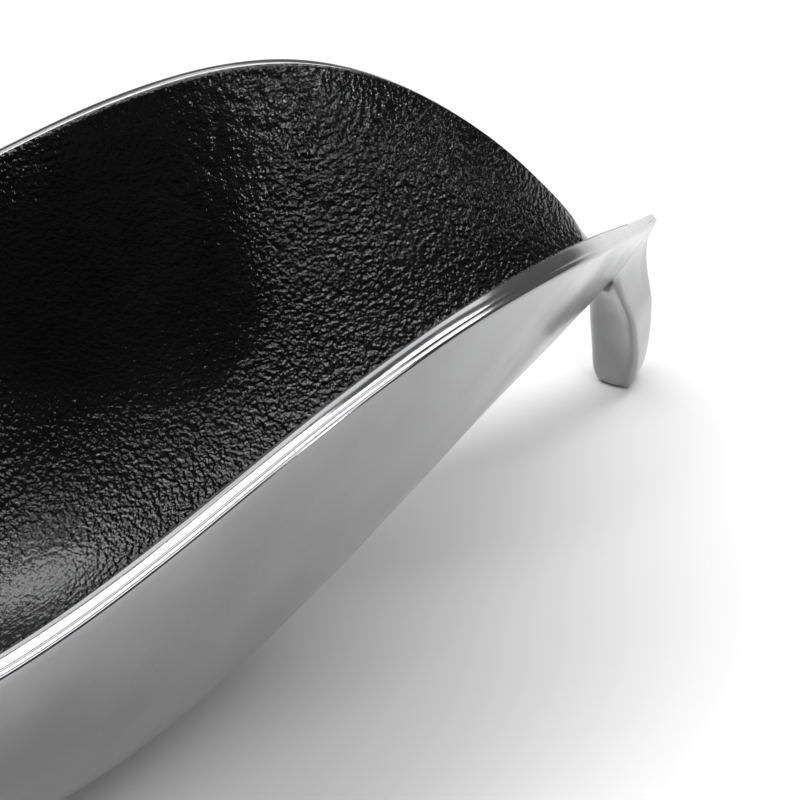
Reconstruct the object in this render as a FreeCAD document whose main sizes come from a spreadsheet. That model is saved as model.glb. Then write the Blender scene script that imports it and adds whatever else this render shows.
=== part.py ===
import FreeCAD, Part
import math
import os

# A cast aluminium bowl shaped like a long curled leaf: black enamel inside, a polished
# outside, and a short cast leg under each of its two pointed tips. It rests on its ground
# belly and on the two legs. +X runs along the leaf, +Y is the side that the tips sweep to,
# +Z is up, and the origin is on the table under the middle of the belly.

doc = FreeCAD.newDocument("leaf_bowl")

# ---------------------------------------------------------------- driving dimensions
SIZES = {
    "half_length": 255.0,
    "tip_sweep": 61.5,        # how far each tip lies to the side of the straight middle
    "sweep_start": 100.0,     # distance from the middle where the sweep begins
    "edge_flare": 12.0,       # tilt of the flat polished rim edge, degrees
    "floor_ratio": 1.2,       # floor thickness as a multiple of the rim edge's
    "seam_depth": 0.4,        # the least depth of the hollow, at the very tip
    "seam_half_width": 0.3,
    "end_slope": 3.0,         # steepness of the hollow's rounded ends
    "nose_radius": 2.5,
    "nose_blunt": 1.3,
    "enamel_thick": 0.8,
    "enamel_inset": 34.0,     # distance from a tip to the end of the enamel
    "leg_inset": 17.0,        # distance from a tip to the leg's own axis
    "ground_length": 160.0,
    "ground_width": 120.0,
    "ground_depth": 10.0,
}

# The lines of the leaf, station by station from a tip to the middle. The rim twist lifts
# the -Y rim and lowers the +Y rim by the same amount.
STATIONS = [0.0, 12.0, 19.0, 25.0, 30.0, 35.0, 45.0, 55.0, 65.0, 85.0, 135.0, 195.0, 255.0]
LINES = {
    "half_width": [0.3, 3.2, 5.9, 8.4, 10.6, 13.0, 18.2, 24.0, 30.3, 43.1, 61.6, 73.8, 80.3],
    "rim_height": [47.4, 51.5, 54.5, 57.5, 61.5, 66.9, 76.9, 86.2, 94.7, 108.7, 120.0, 101.0,
                   87.0],
    "rim_twist": [0.9, 4.6, 6.6, 8.0, 7.6, 5.8, 3.2, 1.4, 0.4, 0.0, 0.0, 0.0, 0.0],
    "keel_height": [40.6, 42.0, 42.6, 42.8, 43.0, 43.1, 43.0, 42.4, 41.4, 38.5, 26.5, 4.5,
                    -0.8],
    "fullness": [1.1, 1.15, 1.18, 1.2, 1.22, 1.25, 1.3, 1.32, 1.35, 1.4, 2.1, 3.2, 3.6],
    "edge_thick": [2.8, 4.0, 4.4, 4.5, 4.55, 4.6, 4.8, 5.0, 5.3, 5.5, 5.0, 5.0, 5.0],
}

# The leg, level by level from its foot: height, back and front of the ring, half its width.
LEG_LEVELS = [
    (0.0, -0.6, 6.6, 3.9),
    (1.2, -2.0, 8.5, 5.7),
    (4.0, -2.4, 9.8, 6.6),
    (9.0, -2.6, 10.5, 7.2),
    (15.0, -3.6, 11.0, 7.5),
    (22.0, -5.8, 10.8, 7.3),
    (30.0, -8.6, 9.6, 6.5),
    (38.0, -13.2, 7.6, 4.9),
    (42.0, -16.8, 6.4, 3.6),
    (44.5, -20.2, 6.0, 2.2),
]

sheet = doc.addObject("Spreadsheet::Sheet", "Sizes")


def fill_sheet():
    """Every driving dimension and every station value gets a cell with its own name."""
    named = list(SIZES.items())
    for line, values in [("station", STATIONS)] + list(LINES.items()):
        named += [("%s_at_%d" % (line, number), v) for number, v in enumerate(values, 1)]
    for row, (name, value) in enumerate(named, 1):
        sheet.set("A%d" % row, name)
        sheet.set("B%d" % row, str(value))
        sheet.setAlias("B%d" % row, name)
    doc.recompute()


fill_sheet()


def size(name):
    return float(sheet.get(name))


# ---------------------------------------------------------------- the lines of the leaf
HALF = size("half_length")


def through(points, places):
    """A smooth curve that passes each point at its own place along the parameter."""
    curve = Part.BSplineCurve()
    curve.interpolate(Points=points, Parameters=places)
    return curve


def rail(line):
    """One station value as a smooth curve over the whole length, the same at both ends."""
    numbers = range(1, len(STATIONS) + 1)
    values = [size("%s_at_%d" % (line, n)) for n in numbers]
    places = [size("station_at_%d" % n) - HALF for n in numbers]
    places += [-x for x in places[-2::-1]]
    values += values[-2::-1]
    return through([FreeCAD.Vector(x, v, 0) for x, v in zip(places, values)], places)


RAILS = {line: rail(line) for line in LINES}


def centre_y(x):
    """The centre line: straight in the middle, swept to +Y towards both tips."""
    beyond = max(abs(x) - size("sweep_start"), 0.0) / (HALF - size("sweep_start"))
    return size("tip_sweep") * beyond ** 2


def nose(x):
    """1 along the body, less within the nose radius of a tip, so that the nose is round."""
    blunt = size("nose_blunt")
    reach = min((HALF - abs(x) + blunt) / (size("nose_radius") + blunt), 1.0)
    return math.sqrt(1.0 - (1.0 - reach) ** 2)


def trough(x, half_width, rim, floor, at):
    """Points of one U-shaped curve across the leaf, from its +Y rim to its -Y rim."""
    points = []
    for f in ACROSS:
        z = floor + (rim - at["rim_twist"] * f - floor) * abs(f) ** at["fullness"]
        points.append(FreeCAD.Vector(x, centre_y(x) + half_width * f, z))
    return points


ONE_SIDE = [1.0, 0.94, 0.87, 0.78, 0.66, 0.52, 0.36, 0.18]
ACROSS = ONE_SIDE + [0.0] + [-f for f in reversed(ONE_SIDE)]
STEPS = [0.0, 1.2, 2.6, 5.0, 8.5, 12.0, 16.0, 20.0, 24.0, 28.0, 32.0, 37.0, 43.0, 50.0,
         58.0, 67.0, 77.0, 89.0, 103.0, 120.0, 138.0, 157.0, 177.0, 197.0, 217.0, 236.0]
ALONG = [step - HALF for step in STEPS] + [0.0] + [HALF - step for step in reversed(STEPS)]
SEAMS = [-180.0, -60.0, 60.0, 180.0]


def hollow(x):
    """Half the width between the rim's inner corners, never less than the seam's."""
    return max(RAILS["half_width"].value(x).y, size("seam_half_width"))


def outer_curve(x):
    """The outside of the leaf, from the outer corner of one rim edge to the other."""
    at = {line: RAILS[line].value(x).y for line in RAILS}
    tilt = math.radians(size("edge_flare"))
    half_width = hollow(x) + at["edge_thick"] * math.cos(tilt)
    edge = at["rim_height"] - at["edge_thick"] * math.sin(tilt)
    lift = (1.0 - nose(x)) * (at["rim_height"] - at["keel_height"]) / 2
    return trough(x, half_width * nose(x), edge - lift / 2, at["keel_height"] + lift, at)


def inner_curve(x, inset):
    """The inside of the leaf between the rim's inner corners, drawn in by the inset."""
    at = {line: RAILS[line].value(x).y for line in RAILS}
    seam = size("seam_depth")
    whole = at["rim_height"] - at["keel_height"] - at["edge_thick"] * size("floor_ratio") - seam
    whole = max(whole, seam)
    closing = (hollow(x) - size("seam_half_width")) * size("end_slope") + 0.001
    depth = seam + whole * closing / (whole ** 6 + closing ** 6) ** (1 / 6)
    lift = (1.0 - nose(x)) * (at["rim_height"] - at["keel_height"]) / 4
    return trough(x, hollow(x) - inset, at["rim_height"] - lift,
                  at["rim_height"] - depth + inset - lift, at)


# ---------------------------------------------------------------- surfaces and solids
def surface(rows, degree):
    """A surface through rows of points across the leaf, one row for each place in ALONG."""
    if degree == 1:
        across_knots, across_mults, grid = [0.0, 1.0], [2, 2], rows
    else:
        curves = [through(row, [1.0 - f for f in ACROSS]) for row in rows]
        across_knots = curves[0].getKnots()
        across_mults = curves[0].getMultiplicities()
        grid = [curve.getPoles() for curve in curves]
    lanes = [through(list(lane), ALONG) for lane in zip(*grid)]
    poles = [list(row) for row in zip(*[lane.getPoles() for lane in lanes])]
    result = Part.BSplineSurface()
    result.buildFromPolesMultsKnots(poles, lanes[0].getMultiplicities(), across_mults,
                                    lanes[0].getKnots(), across_knots, False, False,
                                    3, degree)
    return result


def closed(outer, inner, reach):
    """The solid between two surfaces, with a strip along each rim and a cap at each end."""
    first = [[a[0], b[0]] for a, b in zip(outer, inner)]
    last = [[a[-1], b[-1]] for a, b in zip(outer, inner)]
    skins = [surface(outer, 3), surface(inner, 3), surface(first, 1), surface(last, 1)]
    faces = []
    places = [-reach] + SEAMS + [reach]
    for skin in skins:
        start, end = skin.bounds()[2:]
        for low, high in zip(places, places[1:]):
            panel = skin.copy()
            panel.segment(low, high, start, end)
            faces.append(panel.toShape())
    for x in (-reach, reach):
        rims = [edge for face in faces for edge in face.Edges
                if abs(edge.BoundBox.XMin - x) < 0.01 and edge.BoundBox.XLength < 0.01]
        faces.append(Part.Face(Part.Wire(Part.__sortEdges__(rims))))
    shell = Part.makeShell(faces)
    shell.sewShape()
    solid = Part.makeSolid(shell)
    if solid.Volume < 0:
        solid.reverse()
    return solid


def body_of(name, shape):
    body = doc.addObject("Part::Feature", name)
    body.Shape = shape
    body.Placement = FreeCAD.Placement()
    return body


OUTSIDE = [outer_curve(x) for x in ALONG]
INSIDE = [inner_curve(x, 0.0) for x in ALONG]
ENAMELLED = [inner_curve(x, min(size("enamel_thick"), hollow(x) / 2)) for x in ALONG]
casting = body_of("casting", closed(OUTSIDE, INSIDE, HALF))
lining = body_of("enamel_lining", closed(INSIDE, ENAMELLED, HALF - size("enamel_inset")))

# ---------------------------------------------------------------- ground belly
ground = doc.addObject("Part::Box", "ground_cut")
ground.setExpression("Length", "Sizes.ground_length")
ground.setExpression("Width", "Sizes.ground_width")
ground.setExpression("Height", "Sizes.ground_depth")
ground.setExpression("Placement.Base.x", "-Sizes.ground_length / 2")
ground.setExpression("Placement.Base.y", "-Sizes.ground_width / 2")
ground.setExpression("Placement.Base.z", "-Sizes.ground_depth")


def cut(name, base, tool):
    result = doc.addObject("Part::Cut", name)
    result.Base = base
    result.Tool = tool
    return result


shell = cut("cast_shell", casting, ground)


# ---------------------------------------------------------------- legs
def leg_ring(level, back, front, half_width):
    """A rounded, nearly rectangular ring as a closed curve."""
    middle = (back + front) / 2
    reach = (front - back) / 2
    corners = 16
    squareness = 0.7
    points = []
    for corner in range(corners):
        angle = 2 * math.pi * corner / corners
        c, s = math.cos(angle), math.sin(angle)
        x = math.copysign(abs(c) ** squareness, c)
        y = math.copysign(abs(s) ** squareness, s)
        points.append(FreeCAD.Vector(middle + reach * x, half_width * y, level))
    ring = Part.BSplineCurve()
    ring.interpolate(Points=points, PeriodicFlag=True,
                     Parameters=[float(n) for n in range(corners + 1)])
    return ring


def leg_solid():
    """The leg in its own frame: +X towards the tip, its axis at the origin, foot at z 0."""
    rings = [leg_ring(*level) for level in LEG_LEVELS]
    levels = [level[0] for level in LEG_LEVELS]
    lanes = [through(list(lane), levels) for lane in zip(*[r.getPoles() for r in rings])]
    poles = [list(row) for row in zip(*[lane.getPoles() for lane in lanes])]
    side = Part.BSplineSurface()
    side.buildFromPolesMultsKnots(poles, lanes[0].getMultiplicities(),
                                  rings[0].getMultiplicities(), lanes[0].getKnots(),
                                  rings[0].getKnots(), False, True, 3, 3)
    faces = [side.toShape()]
    for ring in (rings[0], rings[-1]):
        faces.append(Part.Face(Part.Wire(ring.toShape())))
    shell_of_leg = Part.makeShell(faces)
    shell_of_leg.sewShape()
    solid = Part.makeSolid(shell_of_leg)
    if solid.Volume < 0:
        solid.reverse()
    return solid


leg_x = HALF - size("leg_inset")
slope = 2 * size("tip_sweep") * (leg_x - size("sweep_start")) / (HALF - size("sweep_start")) ** 2
leg_body = body_of("leg_body", leg_solid())
leg_body.Placement = FreeCAD.Placement(
    FreeCAD.Vector(leg_x, centre_y(leg_x), 0),
    FreeCAD.Rotation(FreeCAD.Vector(0, 0, 1), math.degrees(math.atan(slope))))
leg_right = cut("leg_right", leg_body, casting)

leg_left = doc.addObject("Part::Mirroring", "leg_left")
leg_left.Source = leg_right
leg_left.Normal = FreeCAD.Vector(1, 0, 0)

# ---------------------------------------------------------------- checks and files
doc.recompute()
for item in doc.Objects:
    if "Invalid" in item.State or "Error" in item.State:
        raise RuntimeError("%s failed: %s" % (item.Name, item.State))

SUB_PARTS = [shell, lining, leg_right, leg_left]
os.makedirs("parts", exist_ok=True)
for part in SUB_PARTS:
    shape = part.Shape
    if shape.isNull() or not shape.isValid():
        raise RuntimeError("%s has no valid shape" % part.Label)
    print("%s: %d solid, %.1f cm3, box %s" % (part.Label, len(shape.Solids),
                                              shape.Volume / 1000, shape.BoundBox))
    shape.exportStep("parts/%s.step" % part.Label)
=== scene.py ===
"""A footed, leaf-shaped bowl of polished cast aluminium with a rough black enamel inside."""

import math

import bpy
import numpy as np
from mathutils import Matrix, Vector


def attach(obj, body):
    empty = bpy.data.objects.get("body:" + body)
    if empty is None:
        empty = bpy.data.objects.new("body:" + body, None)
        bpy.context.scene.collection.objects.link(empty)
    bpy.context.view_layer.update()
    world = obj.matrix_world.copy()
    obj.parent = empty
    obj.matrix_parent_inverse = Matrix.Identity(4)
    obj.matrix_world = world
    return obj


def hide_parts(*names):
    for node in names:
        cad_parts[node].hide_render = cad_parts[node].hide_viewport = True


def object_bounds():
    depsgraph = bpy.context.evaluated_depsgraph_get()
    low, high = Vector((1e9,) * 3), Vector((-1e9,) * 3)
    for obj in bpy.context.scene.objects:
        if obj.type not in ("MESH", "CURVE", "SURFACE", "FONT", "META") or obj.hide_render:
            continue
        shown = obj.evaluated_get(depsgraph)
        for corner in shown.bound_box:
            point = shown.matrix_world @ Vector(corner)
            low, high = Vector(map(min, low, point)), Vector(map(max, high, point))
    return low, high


MM = 0.001

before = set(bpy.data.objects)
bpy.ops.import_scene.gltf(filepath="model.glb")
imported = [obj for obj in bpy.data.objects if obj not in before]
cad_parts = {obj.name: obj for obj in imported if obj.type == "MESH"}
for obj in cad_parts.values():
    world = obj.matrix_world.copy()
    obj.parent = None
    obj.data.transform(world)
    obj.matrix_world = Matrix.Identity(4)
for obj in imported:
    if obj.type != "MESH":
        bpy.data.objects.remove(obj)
CAD_LOW, CAD_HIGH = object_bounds()

# ---------------------------------------------------------------- the leaf's own lines, in mm
HALF = (CAD_HIGH.x - CAD_LOW.x) / 2 / MM
TIP_SWEEP = 61.5
SWEEP_START = 100.0
EDGE_FLARE = math.radians(12.0)
FLOOR_RATIO = 1.2
SEAM_DEPTH = 0.4
SEAM_HALF_WIDTH = 0.3
END_SLOPE = 3.0
NOSE_RADIUS = 2.5
NOSE_BLUNT = 1.3
COAT = 0.8
COAT_INSET = 34.0
LEG_INSET = 17.0

STATIONS = np.array([0.0, 12.0, 19.0, 25.0, 30.0, 35.0, 45.0, 55.0, 65.0, 85.0, 135.0,
                     195.0, 255.0])
LINES = {
    "half_width": [0.3, 3.2, 5.9, 8.4, 10.6, 13.0, 18.2, 24.0, 30.3, 43.1, 61.6, 73.8, 80.3],
    "rim_height": [47.4, 51.5, 54.5, 57.5, 61.5, 66.9, 76.9, 86.2, 94.7, 108.7, 120.0, 101.0,
                   87.0],
    "rim_twist": [0.9, 4.6, 6.6, 8.0, 7.6, 5.8, 3.2, 1.4, 0.4, 0.0, 0.0, 0.0, 0.0],
    "keel_height": [40.6, 42.0, 42.6, 42.8, 43.0, 43.1, 43.0, 42.4, 41.4, 38.5, 26.5, 4.5,
                    -0.8],
    "fullness": [1.1, 1.15, 1.18, 1.2, 1.22, 1.25, 1.3, 1.32, 1.35, 1.4, 2.1, 3.2, 3.6],
    "edge_thick": [2.8, 4.0, 4.4, 4.5, 4.55, 4.6, 4.8, 5.0, 5.3, 5.5, 5.0, 5.0, 5.0],
}

# Height, back and front of the ring, half its width, for each level of the leg.
LEG_LEVELS = np.array([
    (0.0, -0.3, 6.4, 3.4),
    (0.5, -1.2, 7.5, 4.5),
    (1.4, -1.9, 8.6, 5.4),
    (4.0, -2.4, 9.8, 6.5),
    (9.0, -2.6, 10.5, 7.3),
    (15.0, -3.6, 11.0, 7.6),
    (22.0, -5.8, 10.8, 7.5),
    (28.0, -7.9, 10.0, 7.3),
    (33.0, -10.4, 8.8, 6.6),
])


def spline(places, values):
    """A cubic spline through the points, with end slopes from their first three points."""
    x, y = np.asarray(places, float), np.asarray(values, float)
    h = np.diff(x)
    chord = np.diff(y) / h
    first = chord[0] - (chord[1] - chord[0]) * h[0] / (h[0] + h[1])
    last = chord[-1] + (chord[-1] - chord[-2]) * h[-1] / (h[-1] + h[-2])
    count = len(x)
    system, right = np.zeros((count, count)), np.zeros(count)
    system[0, 0] = system[-1, -1] = 1.0
    right[0], right[-1] = first, last
    for i in range(1, count - 1):
        system[i, i - 1] = h[i]
        system[i, i] = 2 * (h[i - 1] + h[i])
        system[i, i + 1] = h[i - 1]
        right[i] = 3 * (h[i] * chord[i - 1] + h[i - 1] * chord[i])
    slopes = np.linalg.solve(system, right)

    def value(at):
        at = np.clip(np.asarray(at, float), x[0], x[-1])
        i = np.clip(np.searchsorted(x, at) - 1, 0, count - 2)
        u = (at - x[i]) / h[i]
        a = 2 * u ** 3 - 3 * u ** 2 + 1
        b = (u ** 3 - 2 * u ** 2 + u) * h[i]
        c = 3 * u ** 2 - 2 * u ** 3
        d = (u ** 3 - u ** 2) * h[i]
        return a * y[i] + b * slopes[i] + c * y[i + 1] + d * slopes[i + 1]

    return value


PLACES = np.concatenate([STATIONS - HALF, (HALF - STATIONS)[-2::-1]])
RAILS = {name: spline(PLACES, values + values[-2::-1]) for name, values in LINES.items()}


def centre_y(x):
    beyond = np.clip((np.abs(x) - SWEEP_START) / (HALF - SWEEP_START), 0.0, None)
    return TIP_SWEEP * beyond ** 2


def nose(x):
    reach = np.clip((HALF - np.abs(x) + NOSE_BLUNT) / (NOSE_RADIUS + NOSE_BLUNT), 0.0, 1.0)
    return np.sqrt(1.0 - (1.0 - reach) ** 2)


def rim_lines(x):
    """Half-widths and heights of the rim's inner and outer corners, with keel and floor."""
    at = {name: rail(x) for name, rail in RAILS.items()}
    narrow = nose(x)
    drop = (1.0 - narrow) * (at["rim_height"] - at["keel_height"]) / 2
    inner = np.maximum(at["half_width"], SEAM_HALF_WIDTH)
    solid = at["keel_height"] + at["edge_thick"] * FLOOR_RATIO + SEAM_DEPTH
    whole = np.maximum(at["rim_height"] - solid, SEAM_DEPTH)
    closing = (inner - SEAM_HALF_WIDTH) * END_SLOPE + 0.001
    depth = SEAM_DEPTH + whole * closing / (whole ** 6 + closing ** 6) ** (1 / 6)
    return {
        "inner": inner,
        "outer": (inner + at["edge_thick"] * math.cos(EDGE_FLARE)) * narrow,
        "top": at["rim_height"] - drop / 2,
        "edge": at["rim_height"] - at["edge_thick"] * math.sin(EDGE_FLARE) - drop / 2,
        "keel": at["keel_height"] + drop,
        "floor": at["rim_height"] - depth - drop / 2,
        "fullness": at["fullness"],
        "twist": at["rim_twist"],
    }


def underside(x, y):
    """Height of the casting's outside over a point of the table."""
    line = rim_lines(x)
    f = np.clip((y - centre_y(x)) / line["outer"], -1.0, 1.0)
    rim = line["edge"] - line["twist"] * f
    return line["keel"] + (rim - line["keel"]) * np.abs(f) ** line["fullness"]


# ---------------------------------------------------------------- noise
GRADIENTS = np.random.default_rng(11).normal(size=(4096, 3))
GRADIENTS /= np.linalg.norm(GRADIENTS, axis=1)[:, None]
HASH_PRIMES = np.array([73856093, 19349663, 83492791])
SEED_PRIME = 7919
SEED_STEP = 17.31
NOISE_GAIN = 1.6


def noise3(points, cell, seed):
    """Gradient noise round zero, with features one cell wide."""
    p = points / cell + seed * SEED_STEP
    base = np.floor(p).astype(np.int64)
    part = p - base
    fade = part ** 3 * (part * (part * 6 - 15) + 10)
    total = np.zeros(len(points))
    for corner in range(8):
        step = np.array([corner & 1, corner >> 1 & 1, corner >> 2 & 1])
        lattice = base + step
        mixed = lattice * HASH_PRIMES
        key = mixed[:, 0] ^ mixed[:, 1] ^ mixed[:, 2]
        gradient = GRADIENTS[(key + seed * SEED_PRIME) % len(GRADIENTS)]
        weight = np.prod(np.where(step, fade, 1 - fade), axis=1)
        total += weight * np.einsum("ij,ij->i", gradient, part - step)
    return total * NOISE_GAIN


# ---------------------------------------------------------------- mesh helpers
LONGEST_SHARE = 0.45    # the most of a side that one rounded corner takes
TROUGH_SAMPLES = 401


def tube(name, rings):
    """A tube through rings of points (rings, points, xyz) in mm, closed at both ends."""
    count, around = rings.shape[:2]
    verts = rings.reshape(-1, 3) * MM
    index = np.arange(count * around).reshape(count, around)
    ahead = np.roll(index, -1, axis=1)
    quads = np.stack([index[:-1], index[1:], ahead[1:], ahead[:-1]], axis=-1).reshape(-1, 4)
    faces = quads.tolist() + [index[0].tolist(), index[-1][::-1].tolist()]
    mesh = bpy.data.meshes.new(name)
    mesh.from_pydata(verts.tolist(), [], faces)
    mesh.validate()
    mesh.shade_smooth()
    piece = bpy.data.objects.new(name, mesh)
    bpy.context.scene.collection.objects.link(piece)
    return piece


def even(points, count):
    """The same open line with its points evenly spaced."""
    run = np.concatenate([[0.0], np.cumsum(np.linalg.norm(np.diff(points, axis=0), axis=1))])
    at = np.linspace(0.0, run[-1], count)
    return np.stack([np.interp(at, run, points[:, k]) for k in range(points.shape[1])], axis=1)


def rounded(before, corner, after, radius, count):
    """Points round a corner, from radius before it to radius after it."""
    share_before = min(radius / np.linalg.norm(before - corner), LONGEST_SHARE)
    share_after = min(radius / np.linalg.norm(after - corner), LONGEST_SHARE)
    start = corner + (before - corner) * share_before
    end = corner + (after - corner) * share_after
    u = np.linspace(0.0, 1.0, count)[:, None]
    return (1 - u) ** 2 * start + 2 * u * (1 - u) * corner + u ** 2 * end


def along(fine, coarse, ease):
    """Places along X, finer towards the tips."""
    places = [0.0]
    while places[-1] < HALF:
        left = HALF - places[-1]
        places.append(places[-1] + fine + (coarse - fine) * (1 - math.exp(-left / ease)))
    right = np.array(places) * HALF / places[-1]
    return np.concatenate([-right[:0:-1], right])


def trough(x, line, half_width, top, floor, count):
    """One U-shaped line across the leaf in its own YZ plane, from +Y to -Y."""
    f = np.linspace(1.0, -1.0, TROUGH_SAMPLES)
    z = floor + (top - line["twist"] * f - floor) * np.abs(f) ** line["fullness"]
    points = even(np.stack([half_width * f, z], axis=1), count)
    points[:, 0] += centre_y(x)
    return points


# ---------------------------------------------------------------- the casting
CASTING_STEPS = (0.4, 1.55, 26.0)    # finest step, coarsest step, how fast it grows
OUTER_POINTS = 96
INNER_POINTS = 56
CREASE_RADIUS = 1.1
CREASE_POINTS = 6
LIP_RADIUS = 0.5
LIP_POINTS = 4
CROWN = 0.32             # how far the polished strip swells in its middle
CROWN_CELL = 55.0
TILT = 0.10              # how far the strip leans to one side and back
TILT_CELL = 38.0
GROOVE = 0.16            # depth of the fine line beside the crease
TIP_GROOVE = 0.45        # its depth near a tip
GROOVE_AT = 0.08         # its place across the strip, as a share of the width
GROOVE_SPREAD = 0.035
GROOVE_DEEPENS = (140.0, 190.0)
FULL_STRIP_WIDTH = 2.0   # half-width of the hollow from which the strip has its full relief
LEAST_RELIEF = 0.2


def rim_strip(outer, wall, inner, lining, relief):
    """The hand-polished rim edge and its two softened corners, from outside to inside."""
    swell, tilt, depth = relief
    crease = rounded(wall, outer, inner, CREASE_RADIUS, CREASE_POINTS)
    lip = rounded(outer, inner, lining, LIP_RADIUS, LIP_POINTS)
    u = np.concatenate([[0.03, 0.07, 0.11, 0.16], np.linspace(0.25, 0.875, 6)])[:, None]
    flat = crease[-1] + (lip[0] - crease[-1]) * u
    across = inner - outer
    normal = np.array([-across[1], across[0]])
    normal = normal * math.copysign(1.0, normal[1]) / max(np.linalg.norm(normal), 1e-9)
    groove = depth * np.exp(-((u - GROOVE_AT) / GROOVE_SPREAD) ** 2)
    crown = swell * 4 * u * (1 - u) + tilt * np.sin(u * 2 * math.pi)
    flat = flat + normal * (crown - groove)
    return np.concatenate([crease, flat, lip])


def casting_rings(places):
    lines = rim_lines(places)
    spots = np.stack([places, 0 * places, 0 * places], axis=1)
    crown = CROWN * (1.0 + 0.5 * noise3(spots, CROWN_CELL, 21)) * nose(places)
    tilt = TILT * noise3(spots, TILT_CELL, 22)
    depth = np.interp(np.abs(places), GROOVE_DEEPENS, (GROOVE, TIP_GROOVE))
    rings = []
    for i, x in enumerate(places):
        line = {key: value[i] for key, value in lines.items()}
        outside = trough(x, line, line["outer"], line["edge"], line["keel"], OUTER_POINTS)
        inside = trough(x, line, line["inner"], line["top"], line["floor"], INNER_POINTS)[::-1]
        width = min(line["inner"] / FULL_STRIP_WIDTH, 1.0)
        share = width * (1.0 - LEAST_RELIEF) + LEAST_RELIEF
        relief = (crown[i] * share, tilt[i] * share, depth[i] * share)
        near_strip = rim_strip(outside[-1], outside[-2], inside[0], inside[1], relief)
        far_strip = rim_strip(outside[0], outside[1], inside[-1], inside[-2], relief)[::-1]
        ring = np.concatenate([outside[1:-1], near_strip, inside[1:-1], far_strip])
        rings.append(np.column_stack([np.full(len(ring), x), ring]))
    return np.array(rings)


BROAD_CELL = 46.0
BROAD_WAVER = 0.10
CLOSE_CELL = 17.0
CLOSE_WAVER = 0.025
CALM_HEIGHT = 3.0        # below this height the waver fades out, to keep the ground belly flat


def waver(rings):
    """Slow unevenness left by casting and hand polishing, about a tenth of a millimetre."""
    flat = rings.reshape(-1, 3)
    lift = noise3(flat, BROAD_CELL, 1) * BROAD_WAVER + noise3(flat, CLOSE_CELL, 2) * CLOSE_WAVER
    ground = np.clip(flat[:, 2] / CALM_HEIGHT, 0.0, 1.0)
    centre = rings.mean(axis=1, keepdims=True)
    away = (rings - centre).reshape(-1, 3)
    away[:, 0] = 0.0
    away /= np.maximum(np.linalg.norm(away, axis=1), 1e-6)[:, None]
    return (flat + away * (lift * ground)[:, None]).reshape(rings.shape)


def make_casting():
    rings = waver(casting_rings(along(*CASTING_STEPS)))
    rings[..., 2] = np.maximum(rings[..., 2], 0.0)
    return tube("bowl_casting", rings)


# ---------------------------------------------------------------- the enamel
ENAMEL_STEPS = (0.55, 1.05, 30.0)
ENAMEL_POINTS = 190
BACK_POINTS = 16
COAT_SUNK = 0.1          # how far the coat's back reaches into the casting
COAT_BELOW_LIP = 0.15    # how far its face stops below the rim
BACK_BELOW_LIP = 0.35
EDGE_FADE = 6.0          # points from an edge over which the relief grows
BEND_CELL = 9.0
BEND = 1.6
WRINKLE_CELL = 3.7
WRINKLE = 0.20
RIPPLE_CELL = 2.0
RIPPLE = 0.24
CALM_SHARE = 0.14        # share of the relief outside the rough patches
PATCH_CELL = 26.0

# Where the skin is roughest: distance from the middle, height, the reach of each, strength.
ROUGH_PATCHES = [
    (135.0, 104.0, 48.0, 26.0, 1.0),
    (150.0, 62.0, 38.0, 16.0, 0.5),
    (55.0, 26.0, 40.0, 15.0, 0.5),
]


def enamel_height(points):
    """The rough skin, in mm: wrinkles and ripples, both stronger in patches."""
    bend = np.stack([noise3(points, BEND_CELL, seed) for seed in (3, 4, 5)], axis=1) * BEND
    wrinkle = 1.0 - np.abs(noise3(points + bend, WRINKLE_CELL, 6)) * 2.0
    ripple = noise3(points + bend * 0.5, RIPPLE_CELL, 7)
    rough = np.full(len(points), CALM_SHARE)
    for middle, height, length, rise, strength in ROUGH_PATCHES:
        far = ((np.abs(points[:, 0]) - middle) / length) ** 2
        far += ((points[:, 2] - height) / rise) ** 2
        rough += strength * np.exp(-far)
    patch = np.clip(0.75 + 0.6 * noise3(points, PATCH_CELL, 9), 0.2, 1.2)
    return (WRINKLE * wrinkle + RIPPLE * ripple) * rough * patch


def make_enamel():
    reach = HALF - COAT_INSET
    places = along(*ENAMEL_STEPS)
    places = places[np.abs(places) <= reach]
    lines = rim_lines(places)
    rings = []
    for i, x in enumerate(places):
        line = {key: value[i] for key, value in lines.items()}
        coat = min(COAT, line["inner"] / 2)
        front = trough(x, line, line["inner"] - coat / 2, line["top"] - COAT_BELOW_LIP,
                       line["floor"] + coat, ENAMEL_POINTS)
        back = trough(x, line, line["inner"] + COAT_SUNK, line["top"] - BACK_BELOW_LIP,
                      line["floor"] - COAT_SUNK, BACK_POINTS)[::-1]
        ring = np.concatenate([front, back])
        rings.append(np.column_stack([np.full(len(ring), x), ring]))
    rings = np.array(rings)
    front = rings[:, :ENAMEL_POINTS]
    lengthwise = np.gradient(front, axis=0)
    across = np.gradient(front, axis=1)
    normal = np.cross(lengthwise, across)
    normal /= np.linalg.norm(normal, axis=2)[..., None]
    normal *= np.sign(normal[:, ENAMEL_POINTS // 2, 2])[:, None, None]
    height = enamel_height(front.reshape(-1, 3)).reshape(front.shape[:2])
    from_edge = np.minimum(np.arange(ENAMEL_POINTS), np.arange(ENAMEL_POINTS)[::-1])
    fade = np.clip(from_edge / EDGE_FADE, 0.0, 1.0)[None, :]
    rings[:, :ENAMEL_POINTS] = front + normal * (height * fade)[..., None]
    return tube("enamel_coat", rings)


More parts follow.
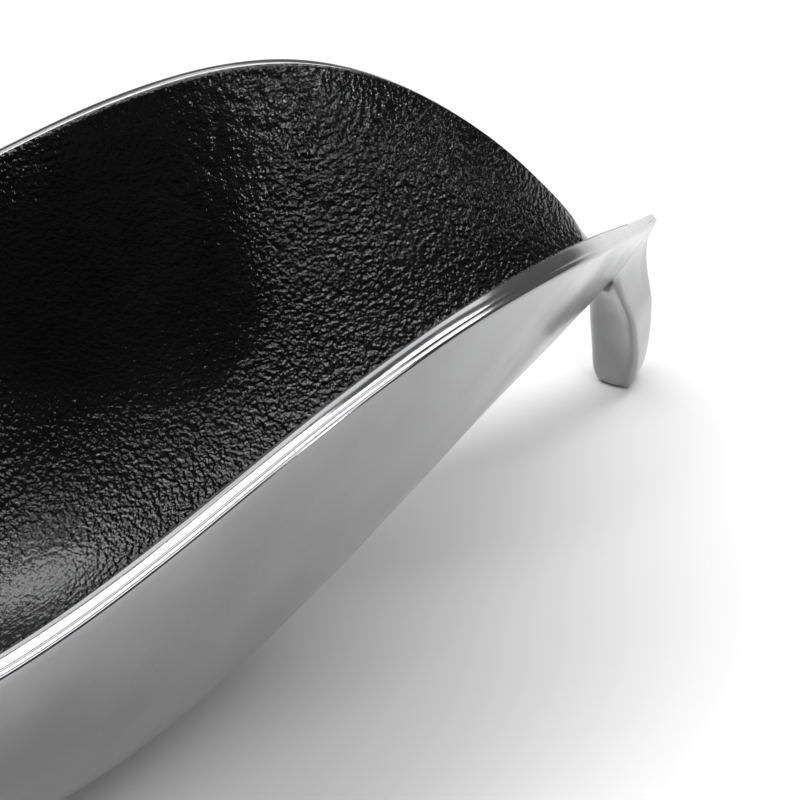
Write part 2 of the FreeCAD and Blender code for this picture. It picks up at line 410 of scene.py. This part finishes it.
# ---------------------------------------------------------------- the legs
LEG_X = HALF - LEG_INSET
LEG_SLOPE = 2 * TIP_SWEEP * (LEG_X - SWEEP_START) / (HALF - SWEEP_START) ** 2
LEG_TURN = math.atan(LEG_SLOPE)
FILLET = 4.5
FILLET_STEPS = 15
LEG_TOP = 33.0
LEG_HOLLOW = 0.18        # depth of the hollow in the leg's back, as a share of its half-width
HOLLOW_LEVELS = (0.0, 4.0, 16.0)
HOLLOW_SHARES = (-0.10, -0.02, LEG_HOLLOW)
BACK_CORNER = 1.6
FRONT_CORNER = 3.0
FRONT_NARROWING = 0.86
SIDE_POINTS = 8
TIP_MARGIN = 1.5
EDGE_MARGIN = 0.3
SKIRT_BITE = 0.05        # how far the fillet's last ring goes into the casting


def leg_outline(back, front, half_width, hollow):
    """One ring in the leg's own frame: a hollowed back, flat sides, a rounded front."""
    front_corner = min(FRONT_CORNER, half_width * 0.8)
    narrow = half_width * FRONT_NARROWING
    corners = [
        (np.array([back, -half_width]), BACK_CORNER, 6),
        (np.array([back, half_width]), BACK_CORNER, 6),
        (np.array([front, narrow]), front_corner, 9),
        (np.array([front, -narrow]), front_corner, 9),
    ]
    ring = []
    for i, (corner, radius, count) in enumerate(corners):
        following, next_radius, _ = corners[(i + 1) % 4]
        beyond = corners[(i + 2) % 4][0]
        ring.append(rounded(corners[i - 1][0], corner, following, radius, count))
        start = ring[-1][-1]
        end = rounded(corner, following, beyond, next_radius, 2)[0]
        u = np.linspace(0.0, 1.0, SIDE_POINTS)[1:-1, None]
        side = start + (end - start) * u
        if i == 0:
            side[:, 0] += hollow * half_width * 4 * (u * (1 - u))[:, 0]
        ring.append(side)
    return np.concatenate(ring)


def leg_world(local, level):
    turn = np.array([[math.cos(LEG_TURN), math.sin(LEG_TURN)],
                     [-math.sin(LEG_TURN), math.cos(LEG_TURN)]])
    flat = local @ turn + np.array([LEG_X, float(centre_y(LEG_X))])
    return np.column_stack([flat, np.full(len(flat), level)])


def leg_rings():
    """Rings from the foot up, then a fillet that runs out onto the casting's underside."""
    sizes = [spline(LEG_LEVELS[:, 0], LEG_LEVELS[:, k]) for k in (1, 2, 3)]
    foot_levels = [0.0, 0.2, 0.5, 0.9, 1.4, 2.0, 3.0]
    levels = np.concatenate([foot_levels, np.arange(4.0, LEG_TOP + 0.1, 1.0)])
    hollows = np.interp(levels, HOLLOW_LEVELS, HOLLOW_SHARES)
    rings = []
    for level, hollow in zip(levels, hollows):
        back, front, half_width = [float(size(level)) for size in sizes]
        rings.append(leg_world(leg_outline(back, front, half_width, hollow), level))
    top, below = rings[-1], rings[-4]
    rise = (top - below) / (top[:, 2] - below[:, 2])[:, None]
    root = top.copy()
    for _ in range(6):
        gap = underside(root[:, 0], root[:, 1]) - root[:, 2]
        root = root + rise * gap[:, None]
    middle = top[:, :2].mean(axis=0)
    away = top[:, :2] - middle
    away /= np.linalg.norm(away, axis=1)[:, None]
    skirt = root.copy()
    skirt[:, :2] += away * FILLET
    skirt[:, 0] = np.minimum(skirt[:, 0], HALF - TIP_MARGIN)
    room = rim_lines(skirt[:, 0])["outer"] - EDGE_MARGIN
    middle_y = centre_y(skirt[:, 0])
    skirt[:, 1] = middle_y + np.clip(skirt[:, 1] - middle_y, -room, room)
    skirt[:, 2] = underside(skirt[:, 0], skirt[:, 1]) + SKIRT_BITE
    for u in np.linspace(0.0, 1.0, FILLET_STEPS)[1:]:
        rings.append((1 - u) ** 2 * top + 2 * u * (1 - u) * root + u ** 2 * skirt)
    return np.array(rings)


def make_leg(name, side):
    rings = leg_rings()
    rings[..., 0] *= side
    if side < 0:
        rings = rings[:, ::-1]
    return tube(name, rings)


# ---------------------------------------------------------------- materials
def new_material(name):
    material = bpy.data.materials.new(name)
    material.use_nodes = True
    nodes, links = material.node_tree.nodes, material.node_tree.links
    return material, nodes, links, nodes["Principled BSDF"]


def node(nodes, kind, **values):
    made = nodes.new(kind)
    for key, value in values.items():
        if key in made.inputs:
            made.inputs[key].default_value = value
        else:
            setattr(made, key, value)
    return made


def ramp(nodes, links, source, stops):
    made = nodes.new("ShaderNodeValToRGB")
    elements = made.color_ramp.elements
    elements[0].position, elements[0].color = stops[0]
    elements[1].position, elements[1].color = stops[-1]
    for position, colour in stops[1:-1]:
        elements.new(position).color = colour
    links.new(source, made.inputs["Fac"])
    return made.outputs["Color"]


def grey(level):
    return (level, level, level, 1.0)


def aluminium():
    material, nodes, links, shader = new_material("polished_aluminium")
    shader.inputs["Metallic"].default_value = 1.0
    where = node(nodes, "ShaderNodeTexCoord").outputs["Object"]
    cloud = node(nodes, "ShaderNodeTexNoise", Scale=38.0, Detail=4.0)
    links.new(where, cloud.inputs["Vector"])
    tint = ramp(nodes, links, cloud.outputs["Fac"],
                [(0.3, (0.29, 0.29, 0.295, 1)), (0.7, (0.35, 0.35, 0.355, 1))])
    pits = node(nodes, "ShaderNodeTexVoronoi", Scale=420.0)
    links.new(where, pits.inputs["Vector"])
    dots = ramp(nodes, links, pits.outputs["Distance"], [(0.04, grey(0.45)), (0.10, grey(1.0))])
    mix = node(nodes, "ShaderNodeMix", data_type="RGBA", blend_type="MULTIPLY")
    mix.inputs["Factor"].default_value = 0.5
    links.new(tint, mix.inputs["A"])
    links.new(dots, mix.inputs["B"])
    links.new(mix.outputs["Result"], shader.inputs["Base Color"])
    haze = node(nodes, "ShaderNodeTexNoise", Scale=90.0, Detail=6.0, Roughness=0.6)
    links.new(where, haze.inputs["Vector"])
    rough = ramp(nodes, links, haze.outputs["Fac"], [(0.3, grey(0.13)), (0.7, grey(0.20))])
    links.new(rough, shader.inputs["Roughness"])
    grain = node(nodes, "ShaderNodeTexNoise", Scale=900.0, Detail=3.0)
    links.new(where, grain.inputs["Vector"])
    bump = node(nodes, "ShaderNodeBump", Strength=0.06, Distance=0.0002)
    links.new(grain.outputs["Fac"], bump.inputs["Height"])
    links.new(bump.outputs["Normal"], shader.inputs["Normal"])
    return material


def enamel():
    material, nodes, links, shader = new_material("black_enamel")
    where = node(nodes, "ShaderNodeTexCoord").outputs["Object"]
    cloud = node(nodes, "ShaderNodeTexNoise", Scale=60.0, Detail=5.0)
    links.new(where, cloud.inputs["Vector"])
    tint = ramp(nodes, links, cloud.outputs["Fac"], [(0.3, grey(0.001)), (0.75, grey(0.003))])
    links.new(tint, shader.inputs["Base Color"])
    rough = ramp(nodes, links, cloud.outputs["Fac"], [(0.3, grey(0.11)), (0.7, grey(0.18))])
    links.new(rough, shader.inputs["Roughness"])
    ripple = node(nodes, "ShaderNodeTexNoise", Scale=760.0, Detail=1.0, Roughness=0.5)
    links.new(where, ripple.inputs["Vector"])
    spread = node(nodes, "ShaderNodeTexNoise", Scale=13.0, Detail=1.0)
    links.new(where, spread.inputs["Vector"])
    patch = ramp(nodes, links, spread.outputs["Fac"], [(0.40, grey(0.18)), (0.60, grey(1.0))])
    lift = node(nodes, "ShaderNodeMath", operation="MULTIPLY")
    links.new(ripple.outputs["Fac"], lift.inputs[0])
    links.new(patch, lift.inputs[1])
    swell = node(nodes, "ShaderNodeBump", Strength=1.0, Distance=0.0012)
    links.new(lift.outputs["Value"], swell.inputs["Height"])
    grain = node(nodes, "ShaderNodeTexNoise", Scale=1500.0, Detail=2.0, Roughness=0.5)
    links.new(where, grain.inputs["Vector"])
    bump = node(nodes, "ShaderNodeBump", Strength=0.6, Distance=0.0002)
    links.new(grain.outputs["Fac"], bump.inputs["Height"])
    links.new(swell.outputs["Normal"], bump.inputs["Normal"])
    links.new(bump.outputs["Normal"], shader.inputs["Normal"])
    return material


def studio_floor():
    material, _, _, shader = new_material("studio_floor")
    shader.inputs["Base Color"].default_value = (0.86, 0.86, 0.86, 1)
    shader.inputs["Roughness"].default_value = 0.7
    return material


# ---------------------------------------------------------------- pieces on the frame
METAL, BLACK = aluminium(), enamel()


def place(piece, material, replaced):
    piece.data.materials.append(material)
    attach(piece, "root")
    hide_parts(replaced)


place(make_casting(), METAL, "cast_shell")
place(make_enamel(), BLACK, "enamel_lining")
place(make_leg("cast_leg_right", 1), METAL, "leg_right")
place(make_leg("cast_leg_left", -1), METAL, "leg_left")


# ---------------------------------------------------------------- studio
FLOOR_HALF = 4.0
FLOOR_DROP = 0.0002      # keeps the floor clear of the belly and the feet


def make_floor():
    half = FLOOR_HALF
    mesh = bpy.data.meshes.new("floor")
    mesh.from_pydata([(-half, -half, 0), (half, -half, 0), (half, half, 0), (-half, half, 0)],
                     [], [(0, 1, 2, 3)])
    floor = bpy.data.objects.new("floor", mesh)
    floor.location.z = -FLOOR_DROP
    bpy.context.scene.collection.objects.link(floor)
    mesh.materials.append(studio_floor())


def area_light(name, place_at, target, width, height, power):
    data = bpy.data.lights.new(name, "AREA")
    data.shape = "RECTANGLE"
    data.size, data.size_y, data.energy = width, height, power
    lamp = bpy.data.objects.new(name, data)
    lamp.location = place_at
    lamp.rotation_mode = "QUATERNION"
    aim = Vector(target) - Vector(place_at)
    lamp.rotation_quaternion = aim.to_track_quat("-Z", "Y")
    bpy.context.scene.collection.objects.link(lamp)


def make_world():
    """A dim room that grows paler towards +X and +Y."""
    world = bpy.data.worlds.new("studio")
    world.use_nodes = True
    nodes, links = world.node_tree.nodes, world.node_tree.links
    where = nodes.new("ShaderNodeTexCoord").outputs["Generated"]
    facing = node(nodes, "ShaderNodeVectorMath", operation="DOT_PRODUCT")
    facing.inputs[1].default_value = (0.80, 0.60, 0.0)
    links.new(where, facing.inputs[0])
    glow = ramp(nodes, links, facing.outputs["Value"],
                [(0.0, grey(0.08)), (0.25, grey(0.10)), (0.75, grey(0.20))])
    links.new(glow, nodes["Background"].inputs["Color"])
    bpy.context.scene.world = world


CAMERA_AT = (0.00095, -0.28743, 0.28746)
CAMERA_AIM = (0.3562, 0.7277, -0.5861)
CAMERA_LENS = 73.66
CAMERA_SENSOR = 36.0
CAMERA_NEAREST = 0.01


def make_camera():
    data = bpy.data.cameras.new("camera")
    data.sensor_width = CAMERA_SENSOR
    data.lens = CAMERA_LENS
    data.clip_start = CAMERA_NEAREST
    camera = bpy.data.objects.new("camera", data)
    forward = Vector(CAMERA_AIM).normalized()
    right = forward.cross(Vector((0, 0, 1))).normalized()
    up = right.cross(forward)
    turn = Matrix((right, up, -forward)).transposed()
    camera.matrix_world = Matrix.Translation(CAMERA_AT) @ turn.to_4x4()
    bpy.context.scene.collection.objects.link(camera)
    bpy.context.scene.camera = camera


make_floor()
make_world()
make_camera()
bpy.context.scene.view_settings.view_transform = "Standard"
# Each light: place, target, width, height, power.
area_light("overhead_near", (0.25, 0.16, 1.3), (0.25, 0.14, 0.0), 2.0, 0.44, 18.5)
area_light("overhead_left", (-0.36, 0.62, 1.3), (-0.36, 0.60, 0.0), 0.55, 0.30, 4.0)
area_light("overhead_far", (0.25, 1.55, 1.3), (0.25, 1.2, 0.0), 2.0, 0.75, 8.5)
area_light("fill", (0.05, -0.70, 1.3), (0.10, -0.10, 0.0), 1.3, 0.40, 6.5)
area_light("front", (0.37, -0.99, 0.64), (0.14, 0.05, 0.08), 0.11, 0.11, 2.0)
area_light("side", (-0.60, -0.47, 0.85), (0.07, 0.04, 0.03), 0.10, 0.10, 0.6)
